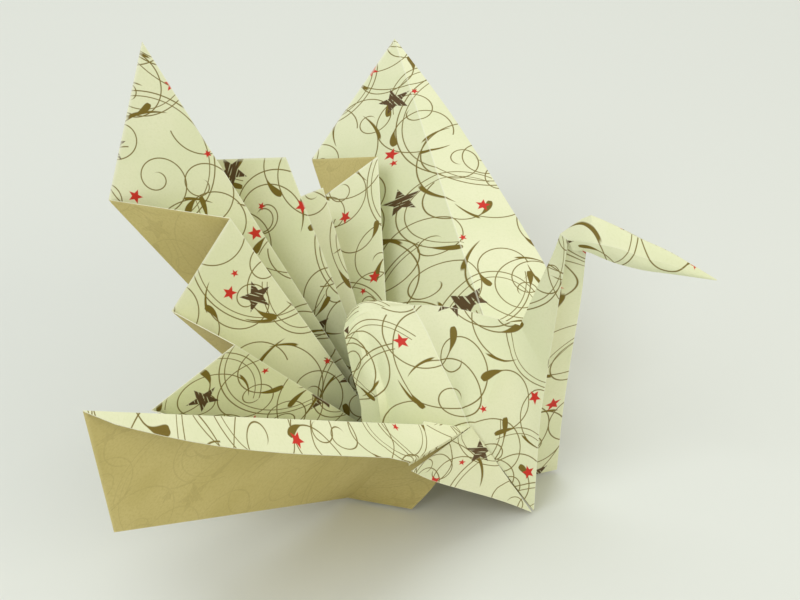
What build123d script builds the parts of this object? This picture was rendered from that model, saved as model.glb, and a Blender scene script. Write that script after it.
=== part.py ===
from build123d import *
import os
from math import cos, radians, sin

# A paper crane with a fan tail, folded from one square sheet. +X is forwards, +Y is its left, +Z is up.
# The sheet's rear half is pleated about its centre; its front half makes the body, neck and head.

# ---- driving dimensions, in millimetres and degrees ----
sheet_side = 150.0
paper = 0.12
neck_layers = 4  # pressed together in the neck and the beak
body_layers = 2  # in the flaps of the body and the front edge of the wing
pleats_per_side = 8
pleat_angle = 90 / pleats_per_side
floor = paper / 2
bluntest_mitre = 0.3  # sine of the sharpest corner that laps over its neighbours in full

ridge_tuck = 36.8  # length of each ridge crease that is folded away inside the body
valley_tuck = 28.4  # the same for the valley creases
ridge_hub = Vector(-2.0, 0, 5.0)  # where the ridge creases meet, inside the body
valley_hub = Vector(-2.2, 0, -7.2)  # where the valley creases would meet, below the floor
stack_step = 0.45  # sideways step between neighbouring pleats in the stack at the hub

# Bearing from the tail line and rise above the floor of each crease, from the tail's middle out to the wing.
right_creases = [
    (0, 59),
    (9, 50.5),
    (20.5, 60),
    (27, 50.5),
    (55.5, 45.5),
    (48.5, 39),
    (72, 31.5),
    (68.5, 27),
]
left_creases = [
    (0, 59),
    (11.5, 51.5),
    (27.5, 61.5),
    (21.5, 52),
    (50.5, 45),
    (49.5, 38),
    (69.5, 34.5),
    (58, 30),
]

# Each wing's top crease leaves the body's shoulder.
wing_crease_length = 66.2
right_wing_crease = (55, 26.5)
left_wing_crease = (56.5, 24)

# Body, neck and head, as half-section points on the bird's right side. The left side mirrors them.
shoulder = Vector(13.2, -8.0, 15.1)
hump_peak = Vector(2.1, 0, 28.6)
hump_rear = Vector(-7.2, -4.0, 25.8)
hump_foot = Vector(-2.2, -9.0, 9.0)
crimp_top = Vector(-5.3, -6.2, 24.6)
crimp_foot = Vector(-2.4, -9.6, 11.5)
nape = Vector(17.7, 0, 28.2)
keel_rear = Vector(-4.5, -11.2, floor)
keel_front = Vector(5.4, -10.8, floor)
flap_corner = Vector(9.5, -24.0, 19.1)
neck_foot = Vector(22.6, -5.5, 2 * floor)
neck_root = Vector(17.3, 0, 3 * floor)
crown = Vector(23.0, 0, 44.6)
neck_top = Vector(23.7, -0.8, 43.8)
head_rear = Vector(26.9, 0, 48.1)
head_front = Vector(28.9, 0, 48.1)
beak_tip = Vector(45.0, 0, 41.6)
beak_cheek = Vector(27.2, -1.5, 44.2)
beak_lip = Vector(36.7, -1.6, 42.6)


def mirrored(point):
    """The same point on the bird's left side."""
    return Vector(point.X, -point.Y, point.Z)


def along(bearing, rise, side):
    """Unit direction at a bearing from the tail line and a rise above the floor; side is -1 right, 1 left."""
    reach = cos(radians(rise))
    return Vector(-reach * cos(radians(bearing)), side * reach * sin(radians(bearing)), sin(radians(rise)))


def flat_reach(crease):
    """Distance in the flat sheet from its centre to its edge, along the crease of that number."""
    return sheet_side / 2 / cos(radians(45 - crease * pleat_angle))


def fan_panels(creases, wing_crease, side):
    """The eight pleats of one side, each as one layer and its corners, and the wing's tip."""
    outer = []
    inner = []
    for number, (bearing, rise) in enumerate(creases):
        direction = along(bearing, rise, side)
        if number % 2 == 0:
            outer.append(ridge_hub + direction * (flat_reach(number) - ridge_tuck))
            inner.append(ridge_hub + Vector(0, side * stack_step * number, 0))
        else:
            rim = valley_hub + direction * (flat_reach(number) - valley_tuck)
            outer.append(rim)
            inner.append(rim - direction * ((rim.Z - floor) / direction.Z))
    body_shoulder = shoulder if side < 0 else mirrored(shoulder)
    keel = keel_rear if side < 0 else mirrored(keel_rear)
    inner[-1] = keel
    outer.append(body_shoulder + along(*wing_crease, side) * wing_crease_length)
    inner.append(body_shoulder)
    panels = []
    for valley in range(1, pleats_per_side, 2):
        for ridge in (valley - 1, valley + 1):  # each pleat starts at its ridge's rim, where it is cut in two
            panels.append((1, (outer[ridge], outer[valley], inner[valley], inner[ridge])))
    return panels, outer[-1]


def body_panels(wing_tip, side):
    """The body, neck and head folds of one side, each as its number of layers and its corners."""
    half = {
        "shoulder": shoulder,
        "hump_rear": hump_rear,
        "hump_foot": hump_foot,
        "crimp_top": crimp_top,
        "crimp_foot": crimp_foot,
        "keel_rear": keel_rear,
        "keel_front": keel_front,
        "flap_corner": flap_corner,
        "neck_foot": neck_foot,
        "neck_top": neck_top,
        "beak_cheek": beak_cheek,
        "beak_lip": beak_lip,
    }
    if side > 0:
        half = {name: mirrored(point) for name, point in half.items()}
    return [
        (body_layers, (wing_tip, half["flap_corner"], half["shoulder"])),  # front edge of the wing
        (body_layers, (half["shoulder"], half["flap_corner"], half["neck_foot"])),  # breast flap
        (body_layers, (half["keel_rear"], half["keel_front"], half["shoulder"])),  # wall above the keel
        (body_layers, (half["keel_rear"], half["keel_front"], ridge_hub)),  # inner layer under the body
        (body_layers, (half["keel_front"], neck_root, ridge_hub)),
        (body_layers, (hump_peak, half["shoulder"], half["hump_foot"])),
        (1, (hump_peak, half["hump_foot"], half["hump_rear"])),
        (body_layers, (hump_peak, nape, half["shoulder"])),
        (1, (half["hump_rear"], half["hump_foot"], ridge_hub)),
        (1, (half["hump_rear"], half["crimp_top"], half["crimp_foot"], half["hump_foot"])),
        (neck_layers, (half["shoulder"], half["neck_foot"], nape)),
        (neck_layers, (nape, half["neck_foot"], half["neck_top"])),
        (neck_layers, (nape, half["neck_top"], crown)),
        (neck_layers, (half["neck_foot"], half["neck_top"], crown, neck_root)),
        (neck_layers, (crown, half["neck_top"], half["beak_cheek"], head_rear)),
        (neck_layers, (head_rear, half["beak_cheek"], half["beak_lip"], head_front)),
        (neck_layers, (head_front, half["beak_lip"], beak_tip)),
    ]


def triangles(corners):
    """A panel cut into flat triangles from its first corner."""
    return [(corners[0], corners[n], corners[n + 1]) for n in range(1, len(corners) - 1)]


right_fan, right_wing_tip = fan_panels(right_creases, right_wing_crease, -1)
left_fan, left_wing_tip = fan_panels(left_creases, left_wing_crease, 1)
middle_panels = [
    (1, (hump_peak, hump_rear, mirrored(hump_rear))),
    (1, (hump_rear, mirrored(hump_rear), ridge_hub)),
]
all_panels = (
    right_fan + left_fan + body_panels(right_wing_tip, -1) + body_panels(left_wing_tip, 1) + middle_panels
)

def lapped(corners):
    """A triangle's corners moved out by half the paper, so that it laps onto its neighbours at the folds."""
    moved = []
    for n, corner in enumerate(corners):
        one = (corner - corners[n - 1]).normalized()
        other = (corner - corners[(n + 1) % 3]).normalized()
        moved.append(corner + (one + other) * (paper / 2 / max(one.cross(other).length, bluntest_mitre)))
    return moved


with BuildPart() as folded_crane:
    for layers, panel in all_panels:
        for first, second, third in map(lapped, triangles(panel)):
            facing = (second - first).cross(third - first).normalized()
            layer = Plane(origin=first, x_dir=(second - first).normalized(), z_dir=facing)
            with BuildSketch(layer):
                with BuildLine():
                    Polyline(*[layer.to_local_coords(p) for p in (first, second, third)], close=True)
                make_face()
            extrude(amount=layers * paper / 2, both=True)

# The origin is the middle of the bird's outline, on the floor.
outline = folded_crane.part.bounding_box()
origin = Vector(outline.center().X, outline.center().Y, outline.min.Z)
folded_crane.part = folded_crane.part.translate(-origin)

folded_crane.part.label = "folded_crane"
os.makedirs("parts", exist_ok=True)
export_step(folded_crane.part, "parts/folded_crane.step")
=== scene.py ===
import math

import bmesh
import bpy
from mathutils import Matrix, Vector


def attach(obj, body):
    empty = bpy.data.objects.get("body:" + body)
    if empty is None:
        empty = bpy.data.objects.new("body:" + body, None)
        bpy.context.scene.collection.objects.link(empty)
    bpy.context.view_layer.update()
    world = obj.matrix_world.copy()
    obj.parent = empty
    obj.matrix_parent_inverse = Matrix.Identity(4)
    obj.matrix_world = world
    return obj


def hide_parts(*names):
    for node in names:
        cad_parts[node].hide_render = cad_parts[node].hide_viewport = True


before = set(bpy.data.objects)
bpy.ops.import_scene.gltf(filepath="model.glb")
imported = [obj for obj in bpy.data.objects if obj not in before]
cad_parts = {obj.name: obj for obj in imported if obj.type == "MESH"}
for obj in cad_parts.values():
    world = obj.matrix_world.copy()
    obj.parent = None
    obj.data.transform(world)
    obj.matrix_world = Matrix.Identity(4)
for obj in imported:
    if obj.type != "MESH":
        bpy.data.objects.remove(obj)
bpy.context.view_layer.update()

# The crane is one folded sheet. Points are in millimetres from the foot of the pleats' hub, as in the part's
# source; at() moves them into the part's frame. +X is forwards, +Y is the bird's left, +Z is up.
MM = 0.001
HUB = Vector((-2.136, -0.956, 0.3))
SHEET = 150.0
PAPER = 0.11
PLEAT_ANGLE = 11.25
CELLS = 16  # grid cells across each panel
FOLD_CELL = 0.014  # share of a panel in the narrow cell that runs along each fold
SHARP_FOLD = 28.0  # degrees between two faces from which their shared edge shows as a crease

# Where the creases meet the sheet's edge, from the tail's middle out to the wing's tip.
TAIL = (-37.7, -0.2, 64.7)
RIGHT_RIM = [
    TAIL,
    (-42.1, -6.3, 41.9),
    (-22.6, -7.6, 43.1),
    (-29.7, -13.9, 30.0),
    (-16.8, -21.4, 31.8),
    (-27.0, -28.0, 23.0),
    (-13.4, -35.1, 27.8),
    (-22.1, -50.5, 20.6),
    (-20.9, -56.7, 44.6),
]
LEFT_RIM = [
    TAIL,
    (-39.7, 7.7, 41.3),
    (-20.9, 9.8, 44.1),
    (-29.9, 11.0, 30.7),
    (-19.6, 21.4, 32.9),
    (-26.9, 29.0, 22.4),
    (-15.6, 36.2, 31.4),
    (-30.6, 45.4, 23.6),
    (-19.9, 58.3, 41.9),
]
RIDGE_HUB = (-2.0, 0.0, 5.0)
VALLEY_HUB = (-2.2, 0.0, -7.2)
STACK_STEP = 0.45
FLOOR = -0.1
SHOULDER = (13.2, -8.0, 15.1)
KEEL_REAR = (-4.5, -11.2, 0.1)


# ---- points and curves ----
def vec(point):
    return point.copy() if isinstance(point, Vector) else Vector(point)


def mirrored(points):
    """The same points on the bird's left side."""
    return [Vector((p[0], -p[1], p[2])) for p in points]


def for_side(side):
    """A function from points on the bird's right side to the same points on its right (-1) or left (1)."""
    return mirrored if side > 0 else lambda points: [vec(p) for p in points]


def at(point):
    """A point in the part's frame, in metres."""
    return (vec(point) + HUB) * MM


def along_curve(points, t):
    """A place on the smooth curve through the points, with t from 0 to 1 shared out by length."""
    points = [vec(p) for p in points]
    if len(points) == 1:
        return points[0]
    lengths = [(b - a).length for a, b in zip(points, points[1:])]
    reach = t * sum(lengths)
    span = 0
    while span < len(lengths) - 1 and reach > lengths[span]:
        reach -= lengths[span]
        span += 1
    s = reach / lengths[span] if lengths[span] else 0.0
    start, end = points[span], points[span + 1]
    if len(points) == 2:
        return start.lerp(end, s)
    before = points[span - 1] if span else start * 2 - end
    after = points[span + 2] if span + 2 < len(points) else end * 2 - start
    return 0.5 * (
        2 * start
        + (end - before) * s
        + (2 * before - 5 * start + 4 * end - after) * s * s
        + (3 * start - before - 3 * end + after) * s ** 3
    )


def grid_steps():
    """Shares of a panel's width where its grid lines run, with one narrow cell along each edge."""
    inside = [FOLD_CELL + (1 - 2 * FOLD_CELL) * n / (CELLS - 2) for n in range(CELLS - 1)]
    return [0.0] + inside + [1.0]


STEPS = grid_steps()


# ---- panels ----
class Paper:
    """A stretch of the sheet: panels that share edges, each with its place in the flat sheet."""

    def __init__(self):
        self.mesh = bmesh.new()
        self.uv = self.mesh.loops.layers.uv.new("sheet")
        self.fold = self.mesh.verts.layers.float.new("fold")

    def panel(self, bottom, right, top, left, flat, bulge=0.0, relief=None, folds="brtl"):
        """A panel between four curves. bottom and top run left to right, left and right run bottom to top.

        flat holds the four corners in the flat sheet: bottom left, bottom right, top right, top left.
        The printed side is the one from which the flat corners run anticlockwise.
        """
        flat = [Vector(f) for f in flat]
        turn = sum(a.x * b.y - b.x * a.y for a, b in zip(flat, flat[1:] + flat[:1]))
        corners = [along_curve(c, t) for c, t in ((bottom, 0), (bottom, 1), (top, 1), (top, 0))]
        out = (corners[2] - corners[0]).cross(corners[3] - corners[1]).normalized()
        if turn < 0:
            out = -out
        rows = []
        for v in STEPS:
            row = []
            for u in STEPS:
                place = (
                    along_curve(bottom, u) * (1 - v)
                    + along_curve(top, u) * v
                    + along_curve(left, v) * (1 - u)
                    + along_curve(right, v) * u
                    - corners[0] * (1 - u) * (1 - v)
                    - corners[1] * u * (1 - v)
                    - corners[2] * u * v
                    - corners[3] * (1 - u) * v
                )
                place += out * bulge * math.sin(math.pi * u) * math.sin(math.pi * v)
                if relief:
                    place += out * relief(u, v)
                vert = self.mesh.verts.new(at(place))
                edges = {"b": v == 0, "t": v == 1, "l": u == 0, "r": u == 1}
                # Marks the panel's fold edges, which the materials paint paler: wear there, with a painted
                # highlight.
                vert[self.fold] = float(any(edges[f] for f in folds))
                spot = (
                    flat[0] * (1 - u) * (1 - v)
                    + flat[1] * u * (1 - v)
                    + flat[2] * u * v
                    + flat[3] * (1 - u) * v
                )
                row.append((vert, spot / SHEET + Vector((0.5, 0.5))))
            rows.append(row)
        for v in range(len(STEPS) - 1):
            for u in range(len(STEPS) - 1):
                ring = [rows[v][u], rows[v][u + 1], rows[v + 1][u + 1], rows[v + 1][u]]
                if turn < 0:
                    ring.reverse()
                face = self.mesh.faces.new([vert for vert, _ in ring])
                face.smooth = True
                for loop, (_, spot) in zip(face.loops, ring):
                    loop[self.uv].uv = spot

    def join_into(self, whole):
        """Welds the panels along the edges that they share and adds them to the whole bird's mesh."""
        bmesh.ops.remove_doubles(self.mesh, verts=self.mesh.verts, dist=1e-6)
        bmesh.ops.dissolve_degenerate(self.mesh, edges=self.mesh.edges, dist=1e-7)
        stretch = bpy.data.meshes.new("stretch")
        self.mesh.to_mesh(stretch)
        self.mesh.free()
        whole.from_mesh(stretch)
        bpy.data.meshes.remove(stretch)


def unfolded(places, known, order):
    """Adds the flat places of a panel's corners to the two that are known, by its sides' true lengths.

    order runs anticlockwise. Each corner makes a triangle with the first corner and the one before it.
    """
    flat = dict(known)
    first, second = order[:2]
    for name in order[2:]:
        base = (flat[second] - flat[first]).normalized()
        near = (vec(places[name]) - vec(places[first])).length
        far = (vec(places[name]) - vec(places[second])).length
        length = (flat[second] - flat[first]).length
        x = (near ** 2 - far ** 2 + length ** 2) / (2 * length)
        y = math.sqrt(max(near ** 2 - x ** 2, 0.0))
        flat[name] = flat[first] + base * x + Vector((-base.y, base.x)) * y
        second = name
    return flat


def sided(flat, side):
    """Flat places as the bird's right half of the sheet has them, or swapped over for its left half."""
    return [Vector((f.x, -f.y * side)) for f in flat]


# ---- the fan: sixteen pleats that join both wings to the tail ----
def flat_spot(crease, side, reach):
    """The place in the flat sheet on a crease, that far from the sheet's middle."""
    turn = math.radians(crease * PLEAT_ANGLE)
    return Vector((-math.cos(turn) * reach, side * math.sin(turn) * reach))


def fan_side(paper, rim, side):
    """The eight panels from the tail's middle crease out to a wing's top crease."""
    rim = [vec(p) for p in rim]
    shoulder, keel = for_side(side)([SHOULDER, KEEL_REAR])
    inner = []
    for crease, edge in enumerate(rim):
        if crease % 2 == 0:
            inner.append(vec(RIDGE_HUB) + Vector((0, side * STACK_STEP * crease, 0)))
        else:
            slope = edge - vec(VALLEY_HUB)
            inner.append(edge - slope * ((edge.z - FLOOR) / slope.z))
    inner[7] = keel
    inner[8] = shoulder
    reach = [SHEET / 2 / math.cos(math.radians(45 - k * PLEAT_ANGLE)) for k in range(9)]
    for k in range(8):
        flat = [
            flat_spot(k, side, reach[k] - (rim[k] - inner[k]).length),
            flat_spot(k + 1, side, reach[k + 1] - (rim[k + 1] - inner[k + 1]).length),
            flat_spot(k + 1, side, reach[k + 1]),
            flat_spot(k, side, reach[k]),
        ]
        paper.panel(
            [inner[k], inner[k + 1]],
            [inner[k + 1], rim[k + 1]],
            [rim[k], rim[k + 1]],
            [inner[k], rim[k]],
            flat,
            bulge=0.35 if k < 7 else 0.9,
        )


def wing_front(paper, rim, edge, side):
    """The strip in front of a wing's top crease, folded forwards."""
    tip = vec(rim[-1])
    shoulder = for_side(side)([SHOULDER])[0]
    length = (tip - shoulder).length
    end = vec(edge[-1])
    down = (shoulder - tip).normalized()
    run = (end - tip).dot(down)
    width = (end - tip - down * run).length
    wing_reach = SHEET / math.sqrt(2)
    flat = [
        Vector((0.4, side * wing_reach)),
        Vector((width, side * (wing_reach - run))),
        Vector((0, side * (wing_reach - length))),
        Vector((0, side * wing_reach)),
    ]
    paper.panel([tip] + edge, [end, shoulder], [tip, shoulder], [tip], flat, folds="t")


# ---- the body, the neck and the head, as the bird's right side has them ----
PEAK = (1.8, 0, 28.7)
NAPE = (18.0, 0, 28.6)
NECK_FOOT = (22.6, -5.5, 0.1)
NECK_ROOT = (17.3, 0, 0.2)
CROWN_BACK = (23.1, 0, 44.7)
NEAR_TOP = (24.3, -0.8, 44.5)
BEAK_TIP = (44.9, 0, 41.5)
HUMP_END = (-7.4, -3.6, 24.6)
HUMP_RIDGE = [PEAK, (4.7, -2.0, 26.1), (7.8, -4.3, 22.3), (10.7, -6.3, 18.8), SHOULDER]
HUMP_REAR = [(-5.4, -9.5, 4.0), (-2.9, -9.0, 13.8), (-5.4, -6.0, 19.5), HUMP_END]
HUMP_TOP = [HUMP_END, (-5.4, -1.8, 26.7), (-2.2, -0.5, 27.9), PEAK]
SPINE = [PEAK, (8.0, 0, 29.5), NAPE]
SOFT_CREASE = [SHOULDER, (14.5, -6.9, 17.3), (16.2, -3.6, 22.7), NAPE]
NECK_BACK = [(20.3, 0, 35.7), (22.2, 0, 41.3), CROWN_BACK]
WAIST = (23.0, -3.4, 23.3)
NEAR_EDGE = [NECK_FOOT, (22.6, -4.5, 15.5), WAIST, (23.6, -2.4, 32.0), (24.2, -1.6, 40.7), NEAR_TOP]
FAR_EDGE = [(23.5, 5.0, 0.1), (24.1, 4.0, 12.3), (25.3, 2.5, 25.2), (26.2, 1.6, 34.2), (26.6, 0.8, 42.0)]
CROWN = [CROWN_BACK, (26.6, 0, 48.1), (28.6, 0, 48.0), (34.0, 0, 46.0), (38.3, 0, 44.6), BEAK_TIP]
CHEEK = [NEAR_TOP, (27.8, -2.2, 45.5), (31.7, -2.2, 45.3), (34.8, -1.8, 44.3), (38.5, -1.2, 43.5), BEAK_TIP]
LIP = [
    (25.2, -0.9, 43.0),
    (27.1, -1.5, 43.6),
    (30.7, -1.5, 42.6),
    (34.9, -1.3, 42.0),
    (39.2, -0.9, 41.9),
    BEAK_TIP,
]


def crimp(u, v):
    """Two small pleats where the paper of the back is gathered above the wing, each with one steep side.

    u runs forwards and v runs up, both from 0 to 1. The height is in millimetres.
    """
    height = 0.0
    for start, lift in ((0.05, 0.5), (0.15, 1.1)):
        foot = start + 0.10 * (1 - v)
        rise = (u - foot) / 0.09
        if 0 < rise < 1:
            height += lift * rise
        elif rise >= 1:
            steep_side = math.exp(-((rise - 1) / 0.22) ** 2)
            hollow = 0.35 * lift * math.exp(-((rise - 1.9) / 0.9) ** 2)
            height += lift * steep_side - hollow
    return height * math.sin(math.pi * min(1.0, 0.08 + v * 0.86))


def body_side(side):
    """The back's two panels and the neck's outer and inner panels, on one side."""
    flip = for_side(side)
    places = {
        "peak": PEAK,
        "nape": NAPE,
        "shoulder": SHOULDER,
        "foot": NECK_FOOT,
        "top": NEAR_TOP,
        "crown": CROWN_BACK,
        "waist": WAIST,
        "root": NECK_ROOT,
        "root_middle": (20.4, 0, 22.0),
        "root_top": (24.4, 0, 43.6),
    }
    ridge = Vector((12.0, -17.0)).normalized()
    flat = {"peak": Vector((2.0, -3.0))}
    flat["shoulder"] = flat["peak"] + ridge * (vec(PEAK) - vec(SHOULDER)).length
    flat = unfolded(places, flat, ["peak", "shoulder", "nape"])
    across = Vector((-ridge.y, ridge.x))
    flat["rear"] = flat["peak"] - across * (vec(PEAK) - vec(HUMP_END)).length
    flat["rear_foot"] = flat["shoulder"] - across * 19.0 + ridge * 9.0
    flat = unfolded(places, flat, ["nape", "shoulder", "foot", "waist", "top", "crown"])
    flat = unfolded(places, flat, ["waist", "foot", "root", "root_middle"])
    flat = unfolded(places, flat, ["top", "waist", "root_middle", "root_top"])

    back = Paper()
    back.panel(
        flip([HUMP_REAR[0], (4.0, -10.8, 8.0), SHOULDER]),
        flip(HUMP_RIDGE[::-1]),
        flip(HUMP_TOP),
        flip(HUMP_REAR),
        sided([flat["rear_foot"], flat["shoulder"], flat["peak"], flat["rear"]], side),
        bulge=1.6,
        relief=crimp,
        folds="r",
    )
    back.panel(
        flip([SHOULDER]),
        flip(SOFT_CREASE),
        flip(SPINE),
        flip(HUMP_RIDGE[::-1]),
        sided([flat["shoulder"], flat["shoulder"], flat["nape"], flat["peak"]], side),
        bulge=0.7,
        folds="l",
    )
    edge = NEAR_EDGE if side < 0 else mirrored(FAR_EDGE)
    lower, upper = edge[:3], edge[2:]  # they meet at the waist
    outer = (
        (SOFT_CREASE, lower, ("shoulder", "foot", "waist", "nape"), "r"),
        ([NAPE] + NECK_BACK, upper, ("nape", "waist", "top", "crown"), "rt"),
    )
    for rear, front, names, folds in outer:
        back.panel(
            flip([rear[0], front[0]]),
            flip(front),
            flip([rear[-1], front[-1]]),
            flip(rear),
            sided([flat[name] for name in names], side),
            bulge=-0.3,
            folds=folds,
        )
    inner = (
        (lower, ("foot", "root", "root_middle", "waist")),
        (upper, ("waist", "root_middle", "root_top", "top")),
    )
    for front, names in inner:
        valley = [places[names[1]], places[names[2]]]
        back.panel(
            flip([front[0], valley[0]]),
            flip(valley),
            flip([front[-1], valley[1]]),
            flip(front),
            sided([flat[name] for name in names], side),
            folds="l",
        )
    return back


def roof():
    """The small panel between the two halves of the back, behind its peak."""
    paper = Paper()
    spot = Vector((40.0, 30.0))
    paper.panel(
        [vec(p) for p in HUMP_TOP],
        [vec(PEAK)],
        mirrored(HUMP_TOP),
        [vec(HUMP_END), Vector((-7.9, 0, 25.2)), mirrored([HUMP_END])[0]],
        [spot, spot + Vector((10.6, 3.6)), spot + Vector((10.6, 3.7)), spot + Vector((0, 7.2))],
        bulge=0.5,
        folds="bt",
    )
    return paper


def head_side(side):
    """The head and beak: a panel below the crown and a rolled one below the cheek, on one side."""
    flip = for_side(side)
    head = Paper()
    start = Vector((60.0, -6.0))
    head.panel(
        flip(CHEEK),
        flip([BEAK_TIP]),
        flip(CROWN),
        flip([NEAR_TOP, CROWN_BACK]),
        sided([start, start + Vector((22, 0)), start + Vector((22, 0.3)), start + Vector((-1, 3.5))], side),
        bulge=0.15,
        folds="bl",
    )
    head.panel(
        flip(LIP),
        flip([BEAK_TIP]),
        flip(CHEEK),
        flip([LIP[0], NEAR_TOP]),
        sided([start + Vector((1, -3.2)), start + Vector((22, -0.3)), start + Vector((22, 0)), start], side),
        bulge=0.35,
        folds="bt",
    )
    return head


# ---- the breast flaps and the wall under each wing ----
FLAP_TIP = (22.4, -5.9, 0.0)
FLAP_HEEL = (8.6, -21.3, 16.0)
FLAP_EDGE = [FLAP_HEEL, (10.9, -16.7, 11.1), (17.9, -9.0, 3.7), FLAP_TIP]
FLAP_PEAK = (13.5, -8.3, 15.4)
LAYER_CORNER = (8.3, -21.5, 17.0)
LAYER_PEAK = (13.3, -8.3, 15.0)
LAYER_FOLD = [(8.0, -13.6, 18.9), (13.3, -8.3, 15.2)]
KEEL_FRONT = (5.4, -10.8, 0.1)
WALL_TOP = (7.6, -15.9, 19.6)


def flaps(side):
    """The breast flap, the layer that laps over the wing's front strip, and the wall above the keel."""
    flip = for_side(side)
    breast = Paper()
    spot = Vector((34.0, -30.0))
    breast.panel(
        flip(FLAP_EDGE),
        flip([FLAP_TIP, FLAP_PEAK]),
        flip([FLAP_PEAK]),
        flip([FLAP_HEEL, FLAP_PEAK]),
        sided([spot, spot + Vector((24.5, 3)), spot + Vector((6, 12.5)), spot + Vector((6, 12.5))], side),
        bulge=0.5,
        folds="brl",
    )
    upper = Paper()
    spot = Vector((52.0, -44.0))
    upper.panel(
        flip([LAYER_CORNER, LAYER_PEAK]),
        flip([LAYER_PEAK]),
        flip(LAYER_FOLD),
        flip([LAYER_CORNER, (7.7, -18.7, 18.2), LAYER_FOLD[0]]),
        sided([spot, spot + Vector((15, 2)), spot + Vector((15, 2.2)), spot + Vector((2, 8.5))], side),
        bulge=0.3,
        folds="tl",
    )
    wall = Paper()
    spot = Vector((20.0, -52.0))
    wall.panel(
        flip([KEEL_REAR, KEEL_FRONT]),
        flip([KEEL_FRONT, (8.8, -9.6, 5.2), SHOULDER]),
        flip([WALL_TOP, SHOULDER]),
        flip([KEEL_REAR, WALL_TOP]),
        sided([spot, spot + Vector((10, 0)), spot + Vector((8, -18)), spot + Vector((0, -22))], side),
        folds="br",
    )
    return [breast, upper, wall]


# ---- the whole sheet ----
# The lower edge of each wing's front strip, from the wing's tip to the breast flap.
RIGHT_STRIP = [
    (-17.6, -55.3, 42.4),
    (-10.1, -47.8, 35.8),
    (-2.6, -38.8, 29.4),
    (7.5, -25.2, 20.9),
    (9.0, -23.6, 19.2),
]
LEFT_STRIP = [
    (-13.0, 53.2, 38.1),
    (-5.6, 47.5, 33.7),
    (4.5, 38.4, 27.5),
    (13.6, 29.8, 21.8),
    (19.5, 23.0, 18.0),
]


def folded_sheet():
    """All of the sheet as one mesh, with its thickness."""
    whole = bmesh.new()
    fan = Paper()
    fan_side(fan, RIGHT_RIM, -1)
    fan_side(fan, LEFT_RIM, 1)
    wing_front(fan, RIGHT_RIM, RIGHT_STRIP, -1)
    wing_front(fan, LEFT_RIM, LEFT_STRIP, 1)
    stretches = [fan, roof()]
    for side in (-1, 1):
        stretches.append(body_side(side))
        stretches.append(head_side(side))
        stretches += flaps(side)
    for stretch in stretches:
        stretch.join_into(whole)
    mesh = bpy.data.meshes.new("folded_sheet")
    whole.to_mesh(mesh)
    whole.free()
    bird = bpy.data.objects.new("folded_sheet", mesh)
    bpy.context.scene.collection.objects.link(bird)
    for make in (printed_side, plain_side, cut_edge):
        mesh.materials.append(make())
    thick = bird.modifiers.new("thickness", "SOLIDIFY")
    thick.thickness = PAPER * MM
    thick.offset = 0.0
    thick.material_offset = 1
    thick.material_offset_rim = 2
    bpy.context.view_layer.update()
    solid = bpy.data.meshes.new_from_object(bird.evaluated_get(bpy.context.evaluated_depsgraph_get()))
    bird.modifiers.clear()
    bird.data = solid
    solid.set_sharp_from_angle(angle=math.radians(SHARP_FOLD))
    return bird


# ---- materials ----
# Lengths on the flat sheet, in millimetres.
SOFTNESS = 0.06  # how far a printed edge fades
LINE = 0.085  # half the width of a printed line
DROP = 0.42  # half the width that a line swells by at its teardrop
RED_STARS = ((17.0, 9.0, 1.2, 1.15), (15.0, 10.0, 2.2, 0.62))  # tile size, seed, tilt and radius


def linear(red, green, blue):
    """A colour from 0 to 255 as the linear values that shaders take."""
    channels = []
    for value in (red, green, blue):
        value /= 255
        channels.append(value / 12.92 if value <= 0.04045 else ((value + 0.055) / 1.055) ** 2.4)
    return (*channels, 1.0)


PALE_GREEN = linear(225, 229, 193)
PALEST_GREEN = linear(231, 233, 200)
GREEN_FIBRE = linear(214, 219, 176)
GOLD_INK = linear(118, 100, 30)
BROWN_INK = linear(88, 66, 38)
RED_INK = linear(205, 46, 34)
# The pale print along the folds: partly wear, partly a painted highlight where the folds catch the light.
PRINT_WEAR_AND_FOLD_HIGHLIGHT = linear(243, 244, 228)
KHAKI = linear(196, 182, 118)
PALE_KHAKI = linear(206, 192, 130)
KHAKI_FIBRE = linear(183, 168, 102)
INK_THROUGH_PAPER = linear(120, 100, 50)
# The pale khaki along the folds: partly wear, partly a painted highlight where the folds catch the light.
KHAKI_WEAR_AND_FOLD_HIGHLIGHT = linear(226, 214, 160)
CORE = linear(238, 238, 220)
CORE_FIBRE = linear(222, 220, 190)
TABLE = linear(222, 225, 223)


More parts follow.
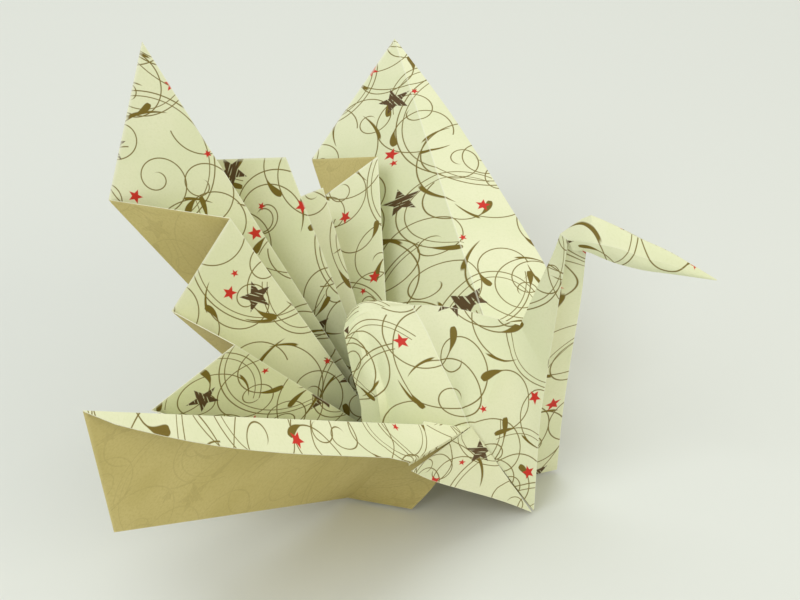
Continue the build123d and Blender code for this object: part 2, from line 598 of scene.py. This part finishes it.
class Nodes:
    """Short ways to add shader nodes to one material."""

    def __init__(self, name):
        self.material = bpy.data.materials.new(name)
        self.material.use_nodes = True
        self.tree = self.material.node_tree
        self.shader = self.tree.nodes["Principled BSDF"]

    def add(self, kind, **settings):
        node = self.tree.nodes.new(kind)
        for name, value in settings.items():
            setattr(node, name, value)
        return node

    def feed(self, socket, value):
        if isinstance(value, bpy.types.NodeSocket):
            self.tree.links.new(value, socket)
        else:
            socket.default_value = value

    def math(self, operation, *values):
        node = self.add("ShaderNodeMath", operation=operation)
        for socket, value in zip(node.inputs, values):
            self.feed(socket, value)
        return node.outputs[0]

    def sum(self, *values):
        total = values[0]
        for value in values[1:]:
            total = self.math("ADD", total, value)
        return total

    def product(self, *values):
        total = values[0]
        for value in values[1:]:
            total = self.math("MULTIPLY", total, value)
        return total

    def ramp(self, value, low, high):
        """0 below low and 1 above high, smooth between; high may be the lower one."""
        node = self.add("ShaderNodeMapRange", interpolation_type="SMOOTHSTEP")
        for socket, given in zip(node.inputs, (value, low, high, 0.0, 1.0)):
            self.feed(socket, given)
        return node.outputs[0]

    def mix(self, share, first, second):
        """A colour between two; sockets 6 and 7 and output 2 are the mix node's ones for colours."""
        node = self.add("ShaderNodeMix", data_type="RGBA")
        self.feed(node.inputs["Factor"], share)
        self.feed(node.inputs[6], first)
        self.feed(node.inputs[7], second)
        return node.outputs[2]

    def noise(self, vector, scale, detail):
        node = self.add("ShaderNodeTexNoise")
        self.feed(node.inputs["Vector"], vector)
        node.inputs["Scale"].default_value = scale
        node.inputs["Detail"].default_value = detail
        return node.outputs["Fac"]

    def sheet(self):
        """The place in the flat sheet, as x and y in millimetres, and as a vector for noise."""
        place = self.add("ShaderNodeUVMap", uv_map="sheet").outputs[0]
        axes = self.add("ShaderNodeSeparateXYZ")
        self.feed(axes.inputs[0], place)
        return self.product(axes.outputs[0], SHEET), self.product(axes.outputs[1], SHEET), place

    def turned(self, x, y, angle):
        """x and y turned by an angle in radians."""
        cosine = self.math("COSINE", angle)
        sine = self.math("SINE", angle)
        across = self.math("SUBTRACT", self.product(x, cosine), self.product(y, sine))
        return across, self.sum(self.product(x, sine), self.product(y, cosine))

    def tiles(self, x, y, size, seed, jitter, tilt):
        """Places within tiles of that size, each tile's motif moved and turned by chance.

        Returns x, y, and two chances from 0 to 1.
        """
        x, y = self.turned(x, y, tilt)
        row = self.math("FLOOR", self.math("DIVIDE", y, size))
        shift = self.product(self.math("FLOORED_MODULO", row, 2.0), size * 0.5)
        column = self.math("FLOOR", self.math("DIVIDE", self.sum(x, shift), size))
        tile = self.add("ShaderNodeCombineXYZ")
        self.feed(tile.inputs[0], column)
        self.feed(tile.inputs[1], row)
        tile.inputs[2].default_value = seed
        chance = self.add("ShaderNodeTexWhiteNoise", noise_dimensions="3D")
        self.feed(chance.inputs["Vector"], tile.outputs[0])
        parts = self.add("ShaderNodeSeparateColor")
        self.feed(parts.inputs[0], chance.outputs["Color"])
        away = [self.product(self.math("SUBTRACT", parts.outputs[n], 0.5), jitter) for n in (0, 1)]
        middle = size * 0.5
        local_x = self.math("FLOORED_MODULO", self.sum(x, shift), size)
        local_y = self.math("FLOORED_MODULO", y, size)
        local_x = self.math("SUBTRACT", self.math("SUBTRACT", local_x, middle), away[0])
        local_y = self.math("SUBTRACT", self.math("SUBTRACT", local_y, middle), away[1])
        local_x, local_y = self.turned(local_x, local_y, self.product(parts.outputs[2], math.tau))
        return local_x, local_y, chance.outputs["Value"], parts.outputs[0]

    def polar(self, x, y):
        radius = self.math("SQRT", self.sum(self.product(x, x), self.product(y, y)))
        return radius, self.math("ARCTAN2", y, x)

    def stroke(self, distance, half_width):
        """1 on a line and 0 off it."""
        return self.ramp(self.math("SUBTRACT", distance, half_width), SOFTNESS, -SOFTNESS)

    def drop(self, value, start, end):
        """A teardrop's half width along a line: it swells slowly from start and closes roundly at end."""
        share = self.math("DIVIDE", self.math("SUBTRACT", value, start), end - start)
        share = self.math("MINIMUM", self.math("MAXIMUM", share, 0.0), 1.0)
        closing = self.math("SQRT", self.math("SUBTRACT", 1.0, share))
        return self.product(self.math("POWER", share, 1.4), closing, 3.0 * DROP)


def star(nodes, x, y, radius, inner=0.42):
    """1 inside a five-pointed star; inner is the radius of its notches as a share of its points' radius."""
    reach, angle = nodes.polar(x, y)
    fifth = math.tau / 5
    within = nodes.math("SUBTRACT", nodes.math("FLOORED_MODULO", angle, fifth), fifth / 2)
    folded = nodes.math("SUBTRACT", fifth / 2, nodes.math("ABSOLUTE", within))
    px = nodes.product(reach, nodes.math("COSINE", folded))
    py = nodes.product(reach, nodes.math("SINE", folded))
    notch_x, notch_y = inner * math.cos(fifth / 2), inner * math.sin(fifth / 2)
    length = math.hypot(notch_y, 1 - notch_x)
    side = nodes.sum(
        nodes.product(nodes.math("SUBTRACT", px, radius), notch_y / length),
        nodes.product(py, (1 - notch_x) / length),
    )
    return nodes.ramp(side, SOFTNESS, -SOFTNESS)


def spiral(nodes, x, y, size, seed, tilt, tightness, reach):
    """Scrolls: a spiral in each tile of that size, out to that reach, where it ends in a teardrop."""
    x, y, chance, _ = nodes.tiles(x, y, size, seed, size * 0.12, tilt)
    hand = nodes.math("SIGN", nodes.math("SUBTRACT", chance, 0.5))
    radius, angle = nodes.polar(x, nodes.product(y, hand))
    growth = nodes.math("LOGARITHM", nodes.math("MAXIMUM", radius, 0.05), math.e)
    wound = nodes.math("DIVIDE", growth, tightness)
    off = nodes.math("WRAP", nodes.math("SUBTRACT", wound, angle), math.pi, -math.pi)
    distance = nodes.product(nodes.math("ABSOLUTE", off), radius, tightness)
    swell = nodes.drop(radius, reach * 0.93, reach)
    line = nodes.stroke(distance, nodes.sum(swell, LINE))
    return nodes.product(line, nodes.ramp(radius, reach, reach * 0.98), nodes.ramp(radius, 0.9, 1.1))


def arc(nodes, x, y, size, seed, tilt, radius, sweep, stretch=1.0, echo=0.0):
    """Long curves: part of a ring in each tile, with a teardrop at one end.

    sweep is how far it runs each way from its middle, in radians. echo is the radius of a finer second
    line, as a share of the first one's.
    """
    x, y, _, chance = nodes.tiles(x, y, size, seed, size * 0.1, tilt)
    reach, angle = nodes.polar(x, nodes.product(y, stretch))
    ring = nodes.product(nodes.sum(nodes.product(chance, 0.3), 0.85), radius)
    distance = nodes.math("ABSOLUTE", nodes.math("SUBTRACT", reach, ring))
    swell = nodes.drop(angle, sweep - 3.4 / radius, sweep)
    line = nodes.stroke(distance, nodes.sum(swell, LINE))
    if echo:
        inner = nodes.math("ABSOLUTE", nodes.math("SUBTRACT", reach, nodes.product(ring, echo)))
        line = nodes.math("MAXIMUM", line, nodes.stroke(inner, LINE * 0.8))
    return nodes.product(line, nodes.ramp(nodes.math("ABSOLUTE", angle), sweep, sweep - 0.02))


def print_masks(nodes, x, y):
    """Where the gold scrolls, the brown stars and the red stars are printed."""
    scrolls = [
        spiral(nodes, x, y, size=23.0, seed=1.0, tilt=0.35, tightness=0.19, reach=10.4),
        spiral(nodes, x, y, size=19.0, seed=2.0, tilt=1.10, tightness=0.25, reach=8.6),
        spiral(nodes, x, y, size=15.0, seed=3.0, tilt=2.00, tightness=0.22, reach=6.6),
        arc(nodes, x, y, size=27.0, seed=4.0, tilt=0.70, radius=11.0, sweep=2.2, echo=0.93),
        arc(nodes, x, y, size=21.0, seed=5.0, tilt=1.60, radius=8.4, sweep=1.7, stretch=1.25, echo=0.88),
        arc(nodes, x, y, size=13.0, seed=6.0, tilt=2.50, radius=4.6, sweep=1.9),
        arc(nodes, x, y, size=31.0, seed=7.0, tilt=0.15, radius=13.0, sweep=1.5, stretch=1.3),
    ]
    gold = scrolls[0]
    for scroll in scrolls[1:]:
        gold = nodes.math("MAXIMUM", gold, scroll)
    star_x, star_y, _, _ = nodes.tiles(x, y, size=19.5, seed=8.0, jitter=9.0, tilt=0.5)
    brown = star(nodes, star_x, star_y, 2.5)
    strokes = nodes.math("SINE", nodes.product(star_x, 14.0))
    ragged = nodes.math("SINE", nodes.sum(nodes.product(star_y, 1.3), nodes.product(star_x, 5.0)))
    hatch = nodes.ramp(nodes.sum(strokes, nodes.product(ragged, 0.4)), -1.15, -0.8)
    brown = nodes.product(brown, nodes.sum(nodes.product(hatch, 0.8), 0.2))
    red = None
    for size, seed, tilt, radius in RED_STARS:
        star_x, star_y, _, _ = nodes.tiles(x, y, size, seed, jitter=9.0, tilt=tilt)
        stars = star(nodes, star_x, star_y, radius, 0.45)
        red = stars if red is None else nodes.math("MAXIMUM", red, stars)
    return gold, brown, red


def fibres(nodes, place, strength):
    """A fine paper surface, as bump on the shader."""
    grain = nodes.noise(place, 420.0, 4.0)
    wave = nodes.noise(place, 14.0, 2.0)
    bump = nodes.add("ShaderNodeBump")
    bump.inputs["Strength"].default_value = strength
    bump.inputs["Distance"].default_value = 0.00025
    nodes.feed(bump.inputs["Height"], nodes.sum(nodes.product(grain, 0.25), wave))
    nodes.feed(nodes.shader.inputs["Normal"], bump.outputs[0])
    return grain, wave


def printed_side():
    """Pale green paper with the print, paler along the folds: partly wear, partly a painted highlight."""
    nodes = Nodes("printed_side")
    x, y, place = nodes.sheet()
    gold, brown, red = print_masks(nodes, x, y)
    grain, wave = fibres(nodes, place, 0.35)
    ground = nodes.mix(nodes.ramp(wave, 0.35, 0.65), PALE_GREEN, PALEST_GREEN)
    ground = nodes.mix(nodes.product(nodes.ramp(grain, 0.45, 0.7), 0.25), ground, GREEN_FIBRE)
    fold = nodes.add("ShaderNodeAttribute", attribute_name="fold").outputs["Fac"]
    ink = nodes.mix(gold, ground, GOLD_INK)
    ink = nodes.mix(brown, ink, BROWN_INK)
    ink = nodes.mix(red, ink, RED_INK)
    # Paler along the fold edges: the paper's wear there, with a painted highlight where the folds catch the
    # light.
    wear_and_highlight = nodes.product(nodes.ramp(fold, 0.15, 0.95), nodes.sum(nodes.product(grain, 0.5), 0.25))
    nodes.feed(nodes.shader.inputs["Base Color"], nodes.mix(wear_and_highlight, ink, PRINT_WEAR_AND_FOLD_HIGHLIGHT))
    nodes.shader.inputs["Roughness"].default_value = 0.62
    nodes.shader.inputs["Specular IOR Level"].default_value = 0.35
    return nodes.material


def plain_side():
    """The back of the sheet: khaki, with the print showing through faintly."""
    nodes = Nodes("plain_side")
    x, y, place = nodes.sheet()
    gold, brown, red = print_masks(nodes, x, y)
    grain, wave = fibres(nodes, place, 0.35)
    ground = nodes.mix(nodes.ramp(wave, 0.3, 0.7), KHAKI, PALE_KHAKI)
    ground = nodes.mix(nodes.product(nodes.ramp(grain, 0.4, 0.7), 0.4), ground, KHAKI_FIBRE)
    through = nodes.math("MAXIMUM", nodes.math("MAXIMUM", gold, brown), red)
    ground = nodes.mix(nodes.product(through, 0.13), ground, INK_THROUGH_PAPER)
    fold = nodes.add("ShaderNodeAttribute", attribute_name="fold").outputs["Fac"]
    # Paler along the fold edges: the paper's wear there, with a painted highlight where the folds catch the
    # light.
    wear_and_highlight = nodes.product(nodes.ramp(fold, 0.15, 0.95), 0.3)
    nodes.feed(nodes.shader.inputs["Base Color"], nodes.mix(wear_and_highlight, ground, KHAKI_WEAR_AND_FOLD_HIGHLIGHT))
    nodes.shader.inputs["Roughness"].default_value = 0.75
    nodes.shader.inputs["Specular IOR Level"].default_value = 0.25
    return nodes.material


def cut_edge():
    """The white core that shows at the sheet's edges."""
    nodes = Nodes("cut_edge")
    _, _, place = nodes.sheet()
    grain, _ = fibres(nodes, place, 0.2)
    nodes.feed(nodes.shader.inputs["Base Color"], nodes.mix(grain, CORE, CORE_FIBRE))
    nodes.shader.inputs["Roughness"].default_value = 0.8
    return nodes.material


# ---- floor, light and camera ----
def floor():
    """A pale table, just below the feet."""
    half = 1.5
    corners = [(-half, -half, 0), (half, -half, 0), (half, half, 0), (-half, half, 0)]
    mesh = bpy.data.meshes.new("floor")
    mesh.from_pydata(corners, [], [(0, 1, 2, 3)])
    plane = bpy.data.objects.new("floor", mesh)
    plane.location.z = -0.2 * MM
    bpy.context.scene.collection.objects.link(plane)
    nodes = Nodes("floor")
    nodes.shader.inputs["Base Color"].default_value = TABLE
    nodes.shader.inputs["Roughness"].default_value = 0.9
    nodes.shader.inputs["Specular IOR Level"].default_value = 0.1
    mesh.materials.append(nodes.material)


def area_light(name, place, target, size, power, colour):
    """A round lamp at a place, turned towards its target; lengths are in metres and power in watts."""
    light = bpy.data.lights.new(name, "AREA")
    light.shape = "DISK"
    light.size = size
    light.energy = power
    light.color = colour
    lamp = bpy.data.objects.new(name, light)
    lamp.location = place
    lamp.rotation_euler = (Vector(target) - Vector(place)).to_track_quat("-Z", "Y").to_euler()
    bpy.context.scene.collection.objects.link(lamp)


def lights():
    """A pale room, a cool window and ceiling, and a weak warm lamp from in front of the bird."""
    world = bpy.data.worlds.new("room")
    world.use_nodes = True
    background = world.node_tree.nodes["Background"]
    background.inputs["Color"].default_value = (1.0, 0.97, 0.84, 1.0)
    background.inputs["Strength"].default_value = 0.54
    bpy.context.scene.world = world
    middle = (0.0, 0.0, 0.02)
    area_light("window", (-0.22, -0.48, 0.6), middle, 0.5, 2.1, (0.94, 0.99, 1.0))
    area_light("ceiling", (-0.1, 0.35, 0.8), middle, 0.7, 2.5, (0.94, 0.99, 1.0))
    area_light("bounce", (0.46, -0.14, 0.22), middle, 0.3, 0.6, (1.0, 0.94, 0.76))


def camera():
    """The view from the bird's right, a little ahead of it and about 33 degrees above the table."""
    lens = bpy.data.cameras.new("view")
    lens.sensor_width = 36.0
    lens.lens = 81.2
    lens.clip_start = 0.01
    eye = bpy.data.objects.new("view", lens)
    elevation, azimuth = math.radians(33.14), math.radians(-18.03)
    forwards = Vector(
        (
            math.sin(azimuth) * math.cos(elevation),
            math.cos(azimuth) * math.cos(elevation),
            -math.sin(elevation),
        )
    )
    eye.location = at((67.7, -207.9, 172.0))
    eye.rotation_euler = forwards.to_track_quat("-Z", "Y").to_euler()
    bpy.context.scene.collection.objects.link(eye)
    bpy.context.scene.camera = eye


camera()
lights()
floor()
bpy.context.scene.view_settings.view_transform = "Standard"

bird = folded_sheet()
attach(bird, "root")
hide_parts("folded_crane")
